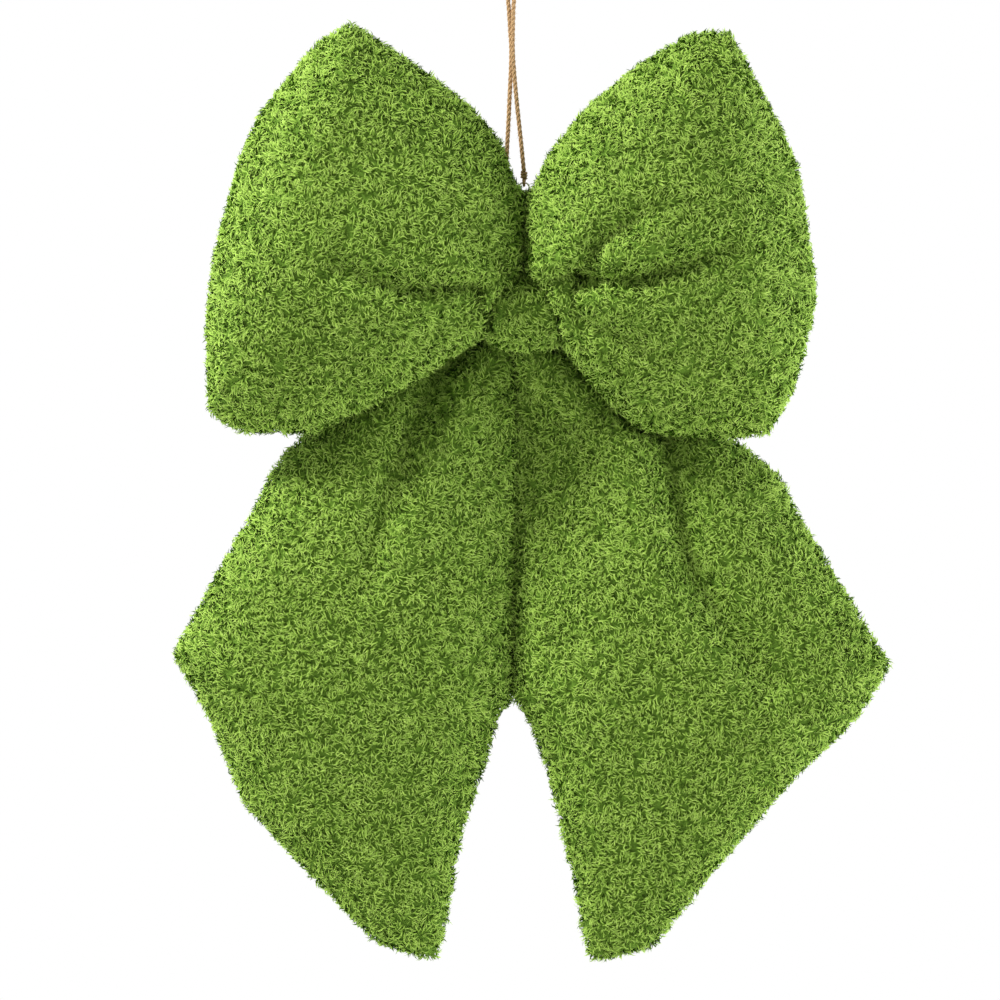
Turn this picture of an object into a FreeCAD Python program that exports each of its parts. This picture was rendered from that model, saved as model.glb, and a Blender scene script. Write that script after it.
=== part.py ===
import FreeCAD, Part
import math
import os
from FreeCAD import Vector

# A stuffed plush bow that hangs from a loop of jute twine. Millimetres, +Z up, the bow's face towards -Y.
# The origin is the inside top of the twine loop, where a hook bears.
# The bow is drawn upright about the middle of its knot and then leaned about its two rings, as it hangs.

# ---- driving dimensions ----
loops_width = 281.0         # across both loops
loops_height = 193.5        # from the loops' lowest point to their highest
tails_width = 334.5         # across both tails
tails_length = 297.5        # from the tails' necks down to their ends
tails_shoulder = 75.0       # down to here the tails keep their shape, so that they stay clear of the loops

pile_cloth = 4.5            # backing cloth and its pile together
stuffing_gap = 0.3          # between the cloth and the filling
piece_gap = 0.4             # between sewn pieces that don't share a seam

knot_width = 34.0           # along X
knot_height = 37.0          # along Z
knot_front = 28.0           # how far the knot stands forward of the bow's middle plane
knot_back = 16.0
knot_hole_height = 17.0     # the opening that the gathered necks pass through
knot_hole_depth = 22.0
neck_slack = 2.0            # the gathered necks are this much flatter than the opening, front and back
waist_radius = 5.0          # the gathered necks under the tie
tie_width = 7.0
tie_thickness = 2.0

twine_diameter = 2.0
hook_loop_width = 7.2       # inside the twine's loop, just under the hook
hang_height = 109.0         # from the hook down to the rings' centres

ring_outer = 5.5
ring_wire = 0.8
ring_spacing = 8.3
ring_clearance = 0.3        # round the ring's wire, inside the twine's eye and the thread loop
rings_middle_x = 1.85       # the pair of rings sits a little left of the bow's middle
bow_middle_x = 6.45
rings_above_knot = 55.0     # ring centres above the knot's middle
rings_behind_bow = 14.0     # ring centres behind the bow's middle plane
hang_lean = 7.0             # degrees that the bow's top leans forward as it hangs

eye_tube = 0.4 * twine_diameter     # radius of the twine, pulled tight, where it passes round the ring
knot_radius = 0.9 * twine_diameter
knot_length = 1.6 * twine_diameter
knot_top_gap = 0.12                 # the slanting twine starts this far above its knot
thread_radius = 0.35
thread_bar_radius = 0.6     # the thread bar that each tail is sewn on with
bar_clearance = 0.25
ring_anchors = {"left": (-8.8, 5.95, 46.45), "right": (3.8, 3.5, 44.45)}   # the ring threads are sewn in here
stitch_count = 7            # ladder stitches that close the knot's band at its back
stitch_pitch = 2.8
stitch_length = 3.0
shank_spread = 4.0          # the outermost thread shank enters the knot this far inside its end
bar_overhang = 1.4          # how far a bar stands past its neck before it turns towards the knot

tail_neck_radius = 5.0
tail_neck_gap = 1.5         # between the tail necks and the knot's back
tail_neck_drop = 7.0        # tail necks below the knot's middle
tails_part_x = -6.0         # where the tails part, left of the bow's middle
tails_gap = 3.0             # between their necks
tail_neck_width = 15.0

# One row per cross-section, outwards from the gathered neck, which is added below:
# top x, top z, bottom x, bottom z, depth in front of the seam, depth behind it.
# The rows give the shape; the loops' and tails' widths, height and length above give its size.
loop_left_rows = [
    (-2.0, 28.0, -20.5, -13.0, 24, 11),
    (-2.0, 51.0, -34.5, -21.5, 33, 13),
    (-11.0, 78.0, -49.0, -32.0, 40, 18),
    (-29.0, 98.0, -70.5, -44.0, 44, 27),
    (-53.0, 115.5, -99.0, -57.5, 44, 36),
    (-79.5, 133.0, -131.0, -57.5, 40, 34),
    (-95.0, 123.5, -145.5, -49.0, 32, 28),
    (-109.0, 107.0, -146.5, -28.0, 23, 21),
    (-121.0, 92.0, -146.5, -2.5, 14, 13),
    (-129.5, 74.5, -143.5, 22.5, 7, 7),
]
loop_right_rows = [
    (1.0, 28.0, 17.5, -16.5, 24, 11),
    (1.0, 51.0, 29.0, -31.5, 33, 14),
    (12.5, 74.5, 41.0, -45.0, 40, 18),
    (30.0, 95.5, 54.0, -56.0, 44, 27),
    (53.0, 114.0, 72.0, -58.5, 44, 36),
    (76.0, 128.0, 92.0, -60.5, 40, 34),
    (93.5, 129.5, 112.0, -58.5, 32, 28),
    (104.5, 109.5, 123.0, -41.0, 23, 21),
    (115.0, 89.5, 129.5, -18.5, 14, 13),
    (125.0, 68.5, 134.5, 4.5, 7, 7),
]
# The tails' heights are below their necks: outer x, outer z, inner x, inner z, front depth, back depth.
tail_left_rows = [
    (-30.5, -13.5, -7.5, -19.0, 12, 10),
    (-55.5, -29.0, -7.5, -48.5, 17, 16),
    (-89.0, -46.0, -7.5, -85.0, 22, 21),
    (-118.0, -73.5, -7.5, -126.5, 25, 25),
    (-142.5, -112.5, -7.5, -168.0, 26, 26),
    (-164.0, -149.5, -20.0, -209.5, 24, 24),
    (-148.0, -178.0, -26.0, -225.5, 20, 20),
    (-131.0, -216.0, -30.5, -246.0, 15, 15),
    (-99.0, -248.5, -34.5, -267.0, 10, 10),
    (-70.5, -276.0, -40.0, -285.0, 6, 6),
]
tail_right_rows = [
    (22.0, -15.5, -4.5, -20.0, 10, 10),
    (52.0, -45.5, -4.5, -52.5, 12, 15),
    (84.0, -53.0, -4.5, -88.0, 18, 21),
    (119.5, -75.5, -4.5, -126.5, 25, 25),
    (145.0, -115.0, -4.5, -168.0, 26, 26),
    (170.5, -155.0, 7.0, -200.0, 24, 24),
    (155.0, -178.0, 13.0, -222.0, 20, 20),
    (124.0, -207.0, 19.5, -245.0, 15, 15),
    (87.5, -247.0, 24.5, -268.0, 10, 10),
    (60.0, -278.5, 29.0, -284.5, 6, 6),
]

# The twine's route from the left ring's knot, over the hook, to the right ring's knot.
# Each point: right, back in twine radii, share of the hang height down from the hook.
# The points at the hook, and the start and end at the tops of the two knots, are added below.
twine_left = [
    (-1.8, 0.1, 91.1 / 109), (-0.9, 0.5, 73.6 / 109), (-0.2, 0.9, 58.0 / 109), (0.3, 1.25, 46.0 / 109),
    (-0.5, 1.0, 34.5 / 109), (-1.15, 0.4, 23.0 / 109), (-3.0, 0.1, 13.0 / 109),
]
twine_right = [
    (3.0, -0.1, 13.0 / 109), (1.15, -0.4, 23.0 / 109), (0.9, -1.0, 34.5 / 109),
    (0.7, -1.25, 46.0 / 109), (1.6, -0.9, 58.0 / 109), (2.9, -0.4, 72.2 / 109), (4.6, -0.1, 87.4 / 109),
]

# ---- places worked out from the dimensions ----
ring_mean = (ring_outer - ring_wire) / 2
ring_z = -hang_height
rings_x = {"left": rings_middle_x - ring_spacing / 2, "right": rings_middle_x + ring_spacing / 2}
top_wire_z = ring_z + ring_mean
bottom_wire_z = ring_z - ring_mean
knot_middle = Vector(bow_middle_x, -rings_behind_bow, ring_z - rings_above_knot)
lean_pivot = Vector(0, 0, bottom_wire_z)
lean_axis = Vector(1, 0, 0)


def hung(shape):
    """Moves a shape from the upright bow's own frame to its leaning, hanging place."""
    placed = shape.copy()
    placed.translate(knot_middle)
    placed.rotate(lean_pivot, lean_axis, hang_lean)
    return placed


def hung_point(x, y, z):
    """The same move for one point."""
    turn = FreeCAD.Rotation(lean_axis, hang_lean)
    return turn.multVec(Vector(x, y, z) + knot_middle - lean_pivot) + lean_pivot


neck_pivot = hung_point(0.0, knot_back + tail_neck_gap + tail_neck_radius, -tail_neck_drop)
neck_ends = {}
for side in (-1, 1):
    neck_start = tails_part_x + side * tails_gap / 2
    neck_ends[side] = (neck_start, neck_start + side * tail_neck_width)


def columns(rows):
    """All the rows' x values, and all their z values."""
    return [x for row in rows for x in (row[0], row[2])], [z for row in rows for z in (row[1], row[3])]


def widened(rows, factor):
    return [(ax * factor, az, bx * factor, bz, front, back) for ax, az, bx, bz, front, back in rows]


def moved_up(rows, new_z):
    return [(ax, new_z(az), bx, new_z(bz), front, back) for ax, az, bx, bz, front, back in rows]


def sized_loops():
    """The loops' rows, stretched so that they span the loops' width and height."""
    xs, zs = columns(loop_left_rows + loop_right_rows)
    across = loops_width / (max(xs) - min(xs))
    up = loops_height / (max(zs) - min(zs))
    return [moved_up(widened(rows, across), lambda z: z * up) for rows in (loop_left_rows, loop_right_rows)]


def sized_tails():
    """The tails' rows, stretched to the tails' width, and below their shoulders to the tails' length."""
    xs, zs = columns(tail_left_rows + tail_right_rows)
    across = tails_width / (max(xs) - min(xs))
    down = (tails_length - tails_shoulder) / (-min(zs) - tails_shoulder)

    def lengthened(z):
        return z if z > -tails_shoulder else -tails_shoulder + (z + tails_shoulder) * down

    return [moved_up(widened(rows, across), lengthened) for rows in (tail_left_rows, tail_right_rows)]


def loop_neck(side):
    """A loop's cross-section where it is gathered into the knot's opening."""
    depth = knot_hole_depth / 2 - neck_slack
    return (side * 0.5, knot_hole_height / 2, side * 0.5, -knot_hole_height / 2, depth, depth)


loop_left, loop_right = sized_loops()
tail_left, tail_right = sized_tails()
loop_sections = {"left": [loop_neck(-1)] + loop_left, "right": [loop_neck(1)] + loop_right}


# ---- pillows: loops and tails ----
def section_points(section, side, inset):
    """Points on the half-oval from one edge of a pillow to the other, on one side of its seam plane."""
    ax, az, bx, bz, front, back = section
    length = math.hypot(bx - ax, bz - az)
    ux, uz = (bx - ax) / length, (bz - az) / length
    half = length / 2 - inset
    depth = (front if side < 0 else back) - inset
    mx, mz = (ax + bx) / 2, (az + bz) / 2
    points = []
    for step in range(7):
        angle = math.pi * step / 6
        along = -half * math.cos(angle)
        points.append(Vector(mx + ux * along, side * depth * math.sin(angle), mz + uz * along))
    return points


def half_arc(section, side, inset):
    curve = Part.BSplineCurve()
    curve.interpolate(section_points(section, side, inset))
    return curve.toShape()


def half_pillow(sections, side, inset):
    """The part of a pillow in front of its seam plane (side -1) or behind it (side 1)."""
    wires = []
    for section in sections:
        ends = section_points(section, side, inset)
        seam = Part.LineSegment(ends[-1], ends[0]).toShape()
        wires.append(Part.Wire([half_arc(section, side, inset), seam]))
    return Part.makeLoft(wires, True, True)


def whole_pillow(sections, inset):
    return half_pillow(sections, -1, inset).fuse(half_pillow(sections, 1, inset))


def panel(sections, side):
    """A pillow's cloth on one side of the seam: the half pillow less its stuffed inside."""
    return half_pillow(sections, side, 0).cut(half_pillow(sections[2:-1], side, pile_cloth))


def filling(sections):
    return whole_pillow(sections[2:-1], pile_cloth + stuffing_gap)


# ---- the knot ----
def oval_tube(places, height, front, back, scales):
    """A barrel along X whose sections are ovals, scaled at each place along it."""
    middle = (back - front) / 2
    reach = (back + front) / 2
    wires = []
    for place, scale in zip(places, scales):
        points = []
        for step in range(12):
            angle = 2 * math.pi * step / 12
            y = middle + reach * scale * math.cos(angle)
            points.append(Vector(place, y, height / 2 * scale * math.sin(angle)))
        curve = Part.BSplineCurve()
        curve.interpolate(points, True)
        wires.append(Part.Wire(curve.toShape()))
    return Part.makeLoft(wires, True, False)


def knot_barrel(grow):
    """The padded band's outer form, or that form grown or shrunk all round."""
    half = knot_width / 2 + grow
    places = [-half, -half * 0.72, -half * 0.3, half * 0.3, half * 0.72, half]
    return oval_tube(places, knot_height + 2 * grow, knot_front + grow, knot_back + grow,
                     [0.78, 0.93, 1.0, 1.0, 0.93, 0.78])


def knot_hole(grow, half_length):
    """The oval opening along X that the gathered necks pass through."""
    reach = knot_hole_depth / 2 + grow
    return oval_tube([-half_length, half_length], knot_hole_height + 2 * grow, reach, reach, [1.0, 1.0])


def tie_band(grow):
    """The wound thread round the waist, or the room that it takes."""
    half = tie_width / 2 + grow
    start = Vector(-half, 0, 0)
    outer = Part.makeCylinder(waist_radius + tie_thickness + grow, 2 * half, start, Vector(1, 0, 0))
    inner = Part.makeCylinder(waist_radius - grow, 2 * half, start, Vector(1, 0, 0))
    return outer.cut(inner)


def closing_stitches():
    """Short ladder stitches across the seam that closes the band at the knot's back."""
    stitches = []
    for step in range(stitch_count):
        x = stitch_pitch * (step - (stitch_count - 1) / 2)
        start = Vector(x, knot_back + piece_gap, -stitch_length / 2)
        stitches.append(Part.makeCylinder(thread_radius, stitch_length, start))
    return Part.makeCompound(stitches)


knot_reach = knot_width / 2
knot_wrap = knot_barrel(0).cut(knot_barrel(-pile_cloth)).cut(knot_hole(0, knot_reach + 1))
inner_room = knot_barrel(-pile_cloth - stuffing_gap)
knot_filling = inner_room.cut(knot_hole(stuffing_gap, knot_reach))
gather_tie = tie_band(0)
necks_room = knot_barrel(piece_gap).cut(knot_hole(-piece_gap, knot_reach + 1)).fuse(tie_band(piece_gap))
waist_room = knot_barrel(piece_gap + pile_cloth)


# ---- hanging parts: rings, eyes, threads ----
def torus_about_x(middle, mean_radius, tube_radius):
    return Part.makeTorus(mean_radius, tube_radius, middle, Vector(1, 0, 0))


def hanging_ring(x):
    return Part.makeTorus(ring_mean, ring_wire / 2, Vector(x, 0, ring_z), Vector(0, 1, 0))


def twine_knot(x):
    """The twine's end: an eye round the ring's top wire and the knot that closes it."""
    eye = torus_about_x(Vector(x, 0, top_wire_z), ring_wire / 2 + ring_clearance + eye_tube, eye_tube)
    foot = Vector(x, 0, top_wire_z + ring_wire / 2 + ring_clearance + eye_tube)
    ball = Part.makeCylinder(knot_radius, knot_length, foot)
    ball = ball.makeFillet(knot_radius * 0.45, ball.Edges[:1] + ball.Edges[2:])
    return eye.fuse(ball)


def round_rod(start, end, radius):
    return Part.makeCylinder(radius, (end - start).Length, start, end - start)


def ring_thread(x, anchor):
    """A loop of thread round the ring's bottom wire, and its shank down to where it is sewn in."""
    loop_radius = ring_wire / 2 + ring_clearance + thread_radius
    loop = torus_about_x(Vector(x, 0, bottom_wire_z), loop_radius, thread_radius)
    start = Vector(x, 0, bottom_wire_z - loop_radius)
    return loop.fuse(Part.makeSphere(thread_radius, start)).fuse(round_rod(start, anchor, thread_radius))


twine_start_z = top_wire_z + ring_wire / 2 + ring_clearance + eye_tube + knot_length + knot_top_gap


# ---- the twine ----
def rounded_path(points):
    """Straight runs joined by tangent arcs, each as large as its two runs allow."""
    radii = []
    edges = []
    last = points[0]
    for before, corner, after in zip(points, points[1:], points[2:]):
        run_in, run_out = before - corner, after - corner
        turn = math.pi - run_in.getAngle(run_out)
        reach = 0.45 * min(run_in.Length, run_out.Length)
        radii.append(reach / math.tan(turn / 2))
        start = corner + run_in.normalize() * reach
        end = corner + run_out.normalize() * reach
        toward = (start + end) / 2 - corner
        deep = radii[-1] / math.cos(turn / 2) - radii[-1]
        middle = corner + toward.normalize() * deep
        edges.append(Part.LineSegment(last, start).toShape())
        edges.append(Part.Arc(start, middle, end).toShape())
        last = end
    edges.append(Part.LineSegment(last, points[-1]).toShape())
    return Part.Wire(edges), radii


def cord_tube(points, radius):
    path, radii = rounded_path(points)
    circle = Part.makeCircle(radius, points[0], points[1] - points[0])
    tube = path.makePipeShell([Part.Wire(circle)], True, True, 2)
    print("twine length %.1f, radii %s" % (path.Length, " ".join("%.1f" % r for r in radii)))
    even = math.pi * radius ** 2 * path.Length
    print("twine volume over section times length %.4f" % (tube.Volume / even))
    return tube


def along_twine(points):
    radius = twine_diameter / 2
    return [Vector(x, radii_back * radius, -share * hang_height) for x, radii_back, share in points]


def over_hook():
    """The twine's points round its hook: down the left side, across the top and down the right."""
    side_x = hook_loop_width / 2 + twine_diameter / 2
    top_x = hook_loop_width / 2 * 5 / 6
    side_z = -2 * twine_diameter
    top_z = twine_diameter / 2
    corners = [(-side_x, side_z), (-top_x, top_z), (top_x, top_z), (side_x, side_z)]
    return [Vector(x, 0, z) for x, z in corners]


route = [Vector(rings_x["left"], 0, twine_start_z)]
route += along_twine(twine_left) + over_hook() + along_twine(twine_right)
route.append(Vector(rings_x["right"], 0, twine_start_z))


# ---- tails ----
def along_neck(side, radius, past):
    """A cylinder along a tail's neck and its hinge line, reaching past both of its ends."""
    start, end = sorted(neck_ends[side])
    return Part.makeCylinder(radius, end - start + 2 * past, Vector(start - past, 0, 0), Vector(1, 0, 0))


def tail_top(side):
    """The cross-section where the pillow meets the roll that its neck is gathered into."""
    inner, outer = neck_ends[side]
    depth = tail_neck_radius * 0.9
    return (outer, -0.5, inner, -0.5, depth, depth)


def half_space(side):
    """Everything in front of the seam plane (side -1) or behind it."""
    size = 800.0
    return Part.makeBox(size, size, size, Vector(-size / 2, 0 if side > 0 else -size, -size / 2))


def tail_panel(sections, side, face):
    rows = [tail_top(side)] + sections
    roll = along_neck(side, tail_neck_radius, 0).common(half_space(face))
    bar_room = along_neck(side, thread_bar_radius + bar_clearance, 1)
    return half_pillow(rows, face, 0).fuse(roll).cut(half_pillow(rows[2:-1], face, pile_cloth)).cut(bar_room)


def at_neck(shape):
    placed = shape.copy()
    placed.translate(neck_pivot)
    return placed


def tail_thread():
    """One bar of thread through both necks, with three shanks from it into the knot's back."""
    outer_left = neck_ends[-1][1] - bar_overhang
    outer_right = neck_ends[1][1] + bar_overhang
    ends = [neck_pivot + Vector(x, 0, 0) for x in (outer_left, tails_part_x, outer_right)]
    thread = round_rod(ends[0], ends[-1], thread_bar_radius)
    for end in ends:
        clear = end - Vector(0, tail_neck_radius + bar_overhang, 0)
        anchor_x = max(end.x - bow_middle_x, shank_spread - knot_reach)
        anchor = hung_point(anchor_x, knot_back - pile_cloth / 2, -tail_neck_drop)
        for start, stop in ((end, clear), (clear, anchor)):
            thread = thread.fuse(Part.makeSphere(thread_bar_radius, start))
            thread = thread.fuse(round_rod(start, stop, thread_bar_radius))
    return thread


# ---- nodes ----
nodes = {
    "knot_wrap": hung(knot_wrap),
    "knot_filling": hung(knot_filling),
    "gather_tie": hung(gather_tie),
    "twine_hanger": cord_tube(route, twine_diameter / 2),
    "tail_stitching": tail_thread(),
    "knot_closing_stitches": hung(closing_stitches()),
}
for name, sections in loop_sections.items():
    nodes["loop_%s_front_panel" % name] = hung(panel(sections, -1).cut(necks_room))
    nodes["loop_%s_back_panel" % name] = hung(panel(sections, 1).cut(necks_room))
    nodes["loop_%s_filling" % name] = hung(filling(sections).cut(waist_room))
    nodes["ring_%s" % name] = hanging_ring(rings_x[name])
    nodes["twine_knot_%s" % name] = twine_knot(rings_x[name])
    nodes["ring_thread_%s" % name] = ring_thread(rings_x[name], hung_point(*ring_anchors[name]))
for name, side, sections in (("left", -1, tail_left), ("right", 1, tail_right)):
    nodes["tail_%s_front_panel" % name] = at_neck(tail_panel(sections, side, -1))
    nodes["tail_%s_back_panel" % name] = at_neck(tail_panel(sections, side, 1))
    nodes["tail_%s_filling" % name] = at_neck(whole_pillow(sections[1:-1], pile_cloth + stuffing_gap))

os.makedirs("parts", exist_ok=True)
for name, shape in nodes.items():
    shape.exportStep("parts/%s.step" % name)
    print("%-24s solids %d valid %s volume %.0f" % (name, len(shape.Solids), shape.isValid(), shape.Volume))
print("tail hinge at", neck_pivot, "ring hinge z %.2f, bow hinge z %.2f" % (top_wire_z, bottom_wire_z))
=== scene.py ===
import math

import bpy
import numpy as np
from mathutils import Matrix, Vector
from mathutils.bvhtree import BVHTree
from mathutils.kdtree import KDTree


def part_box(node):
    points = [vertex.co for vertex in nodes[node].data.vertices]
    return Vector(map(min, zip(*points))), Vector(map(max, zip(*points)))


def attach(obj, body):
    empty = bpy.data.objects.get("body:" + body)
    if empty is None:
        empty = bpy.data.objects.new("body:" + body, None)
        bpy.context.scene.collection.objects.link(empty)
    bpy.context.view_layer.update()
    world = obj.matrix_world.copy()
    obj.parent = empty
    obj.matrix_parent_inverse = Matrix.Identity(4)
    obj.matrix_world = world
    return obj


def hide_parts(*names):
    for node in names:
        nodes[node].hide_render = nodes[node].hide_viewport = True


# a plush gift bow hanging from its twine; metres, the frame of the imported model
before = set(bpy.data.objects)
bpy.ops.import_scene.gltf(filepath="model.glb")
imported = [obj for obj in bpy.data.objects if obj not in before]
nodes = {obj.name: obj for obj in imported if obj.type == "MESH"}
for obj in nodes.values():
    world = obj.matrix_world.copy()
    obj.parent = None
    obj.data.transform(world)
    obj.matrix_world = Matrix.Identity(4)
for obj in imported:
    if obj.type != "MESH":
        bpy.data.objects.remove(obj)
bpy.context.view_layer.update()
scene = bpy.context.scene
mm = 0.001
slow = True

# places that the CAD gives
knotLow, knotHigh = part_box("knot_wrap")
knotMiddle = (knotLow + knotHigh) / 2
bowLean = math.radians(7.0)                       # the bow's top leans forward as it hangs
bowSeam = {"point": Vector((0, -7.48, -165.31)) * mm,
           "normal": Vector((0, math.cos(bowLean), math.sin(bowLean)))}
tailSeam = {"point": Vector((0, 15.71, -169.52)) * mm, "normal": Vector((0, 1, 0))}


# camera, floor, light
cameraSettings = {"middleX": -5.06 * mm, "middleZ": -253.0 * mm, "width": 0.46, "lens": 400.0, "sensor": 36.0,
                  "planeY": -0.01}


def setCamera():
    s = cameraSettings
    data = bpy.data.cameras.new("camera")
    data.lens = s["lens"]
    data.sensor_width = s["sensor"]
    away = s["width"] * s["lens"] / s["sensor"]
    camera = bpy.data.objects.new("camera", data)
    camera.location = (s["middleX"], s["planeY"] - away, s["middleZ"])
    camera.rotation_euler = (math.pi / 2, 0, 0)
    data.clip_start, data.clip_end = 0.05, 60
    scene.collection.objects.link(camera)
    scene.camera = camera


setCamera()
print("camera set")


# shader helpers
class Wire:                                        # a node's output; sums on it add Math nodes
    def __init__(self, finish, out):
        self.finish, self.out = finish, out

    def sum(self, how, a, b):
        return self.finish.add("ShaderNodeMath", {"operation": how}, {0: a, 1: b})

    def __add__(self, other):
        return self.sum("ADD", self, other)

    def __radd__(self, other):
        return self.sum("ADD", other, self)

    def __mul__(self, other):
        return self.sum("MULTIPLY", self, other)

    def __rmul__(self, other):
        return self.sum("MULTIPLY", other, self)


class Finish:                                      # one material and its nodes
    def __init__(self, name):
        self.material = bpy.data.materials.new(name)
        self.material.use_nodes = True
        self.tree = self.material.node_tree
        self.tree.nodes.clear()

    def add(self, kind, settings=None, sockets=None, out=0):
        node = self.tree.nodes.new(kind)
        for key, value in (settings or {}).items():
            if key == "stops":
                for stop, (place, colour) in zip(node.color_ramp.elements, value):
                    stop.position, stop.color = place, colour
                for place, colour in value[2:]:
                    node.color_ramp.elements.new(place).color = colour
            else:
                setattr(node, key, value)
        for key, value in (sockets or {}).items():
            if isinstance(value, Wire):
                self.tree.links.new(value.out, node.inputs[key])
            else:
                node.inputs[key].default_value = value
        return Wire(self, node.outputs[out]) if len(node.outputs) else None

    def mix(self, factor, a, b, blend="MIX"):      # a colour mix
        settings = {"data_type": "RGBA", "blend_type": blend}
        return self.add("ShaderNodeMix", settings, {0: factor, 6: a, 7: b}, 2)

    def place(self, kind="Object"):
        return self.add("ShaderNodeTexCoord", out=["Generated", "Normal", "UV", "Object"].index(kind))

    def stretched(self, vector, scale):
        return self.add("ShaderNodeMapping", {}, {"Vector": vector, "Scale": scale})

    def noise(self, vector, scale, detail=3.0, rough=0.55):
        return self.add("ShaderNodeTexNoise", {}, {"Vector": vector, "Scale": scale, "Detail": detail,
                                                   "Roughness": rough})

    def surface(self, bump=None, strength=0.3, reach=0.0005, **sockets):
        sockets = {key.replace("_", " "): value for key, value in sockets.items()}
        if bump is not None:
            sockets["Normal"] = self.add("ShaderNodeBump", {}, {"Height": bump, "Strength": strength,
                                                                "Distance": reach})
        shader = self.add("ShaderNodeBsdfPrincipled", {}, sockets)
        self.add("ShaderNodeOutputMaterial", {}, {"Surface": shader})
        return self.material


def opaque(colour):
    return (*colour, 1.0)


# finishes
# the pile's colours from root to tip: "deep" is painted shade at the fibres' roots, "pale" is painted
# highlight at their tips
pileColoursWithPaintedShade = {"deep": (0.060, 0.125, 0.010), "middle": (0.175, 0.325, 0.032), "tip": (0.350, 0.555, 0.090),
               "pale": (0.490, 0.700, 0.180)}


def pileFinish():                                  # the map: each fibre's random tint across, its root to tip up; darker towards the root is painted shade deep in the pile, palest at the tip is painted highlight
    f = Finish("greenPileWithPaintedShade")
    shade = f.add("ShaderNodeSeparateXYZ", {}, {0: f.place("UV")})
    along = Wire(f, shade.out.node.outputs[1])
    c = pileColoursWithPaintedShade
    # painted shade and highlight: each fibre is near black at its root and palest at its tip
    body = f.add("ShaderNodeValToRGB", {"stops": [(0.0, opaque(c["deep"])), (1.0, opaque(c["pale"])),
                                                  (0.38, opaque(c["middle"])), (0.78, opaque(c["tip"]))]},
                 {0: along})
    dark = f.mix(1.0, body, opaque((0.66, 0.70, 0.56)), "MULTIPLY")
    light = f.mix(1.0, body, opaque((1.18, 1.10, 1.20)), "MULTIPLY")
    return f.surface(Base_Color=f.mix(shade, dark, light), Roughness=0.85, Specular_IOR_Level=0.2)


def backingFinish():                               # the knitted ground that the pile stands in
    f = Finish("greenGround")
    spot = f.place()
    loops = f.add("ShaderNodeTexVoronoi", {}, {"Vector": spot, "Scale": 900.0})
    patches = f.noise(spot, 60.0)
    colour = f.mix(patches, opaque((0.092, 0.182, 0.017)), opaque((0.132, 0.252, 0.025)))
    return f.surface(bump=loops, strength=0.6, reach=0.0004, Base_Color=colour, Roughness=0.9,
                     Specular_IOR_Level=0.2)


def fillingFinish():                               # matted white polyester fibre
    f = Finish("whiteFilling")
    spot = f.place()
    hairs = f.noise(f.stretched(spot, (1.0, 3.0, 1.0)), 700.0, 6.0, 0.7)
    clumps = f.noise(spot, 90.0)
    colour = f.mix(clumps, opaque((0.72, 0.71, 0.68)), opaque((0.90, 0.89, 0.86)))
    return f.surface(bump=hairs, strength=0.8, reach=0.001, Base_Color=colour, Roughness=0.95,
                     Specular_IOR_Level=0.2)


def twineFinish():                                 # jute: the map runs round each strand and along it
    f = Finish("juteTwine")
    spot = f.place("UV")
    fibres = f.noise(f.stretched(spot, (9.0, 150.0, 1.0)), 1.0, 4.0, 0.6)
    stains = f.noise(f.stretched(spot, (1.0, 22.0, 1.0)), 1.0)
    straw = f.mix(fibres, opaque((0.255, 0.145, 0.065)), opaque((0.640, 0.430, 0.230)))
    colour = f.mix(stains * 0.55, straw, opaque((0.300, 0.175, 0.080)))
    return f.surface(bump=fibres, strength=0.5, reach=0.0002, Base_Color=colour, Roughness=0.88,
                     Specular_IOR_Level=0.2)


def juteHairFinish():
    f = Finish("juteHair")
    patches = f.noise(f.place(), 400.0)
    colour = f.mix(patches, opaque((0.42, 0.27, 0.14)), opaque((0.72, 0.52, 0.31)))
    return f.surface(Base_Color=colour, Roughness=0.9, Specular_IOR_Level=0.2)


def ringFinish():                                  # bright plated wire with fine drawing marks
    f = Finish("platedWire")
    spot = f.place()
    marks = f.noise(f.stretched(spot, (1.0, 14.0, 1.0)), 900.0, 4.0)
    dull = f.noise(spot, 300.0)
    return f.surface(bump=marks, strength=0.08, reach=0.0001, Base_Color=opaque((0.80, 0.79, 0.76)),
                     Metallic=1.0, Roughness=0.16 + dull * 0.22)


def threadFinish():                                # twisted green sewing thread
    f = Finish("sewingThread")
    twist = f.add("ShaderNodeTexWave", {"bands_direction": "DIAGONAL"}, {"Vector": f.place(), "Scale": 900.0})
    colour = f.mix(twist, opaque((0.040, 0.125, 0.015)), opaque((0.120, 0.290, 0.040)))
    return f.surface(bump=twist, strength=0.5, reach=0.0001, Base_Color=colour, Roughness=0.55)


def floorFinish():
    f = Finish("paleFloor")
    colour = f.mix(f.noise(f.place(), 3.0), opaque((0.86, 0.86, 0.85)), opaque((0.90, 0.90, 0.89)))
    return f.surface(Base_Color=colour, Roughness=0.7, Specular_IOR_Level=0.2)


finishes = {"pile": pileFinish(), "backing": backingFinish(), "filling": fillingFinish(),
            "twine": twineFinish(), "juteHair": juteHairFinish(), "ring": ringFinish(),
            "thread": threadFinish(), "floor": floorFinish()}
print("finishes made")


# mesh helpers
def selectOnly(*objects):
    bpy.ops.object.select_all(action="DESELECT")
    for o in objects:
        o.select_set(True)
    bpy.context.view_layer.objects.active = objects[0]


def applyModifier(o, name, kind, **settings):
    modifier = o.modifiers.new(name, kind)
    for key, value in settings.items():
        setattr(modifier, key, value)
    selectOnly(o)
    bpy.ops.object.modifier_apply(modifier=modifier.name)


def getValues(mesh, what):
    values = np.empty(len(mesh.vertices) * 3)
    mesh.vertices.foreach_get(what, values)
    return values.reshape(-1, 3)


def getPoints(o):
    return getValues(o.data, "co")


def getNormals(o):
    return getValues(o.data, "normal")


def setPoints(o, points):
    o.data.vertices.foreach_set("co", points.ravel())
    o.data.update()


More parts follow.
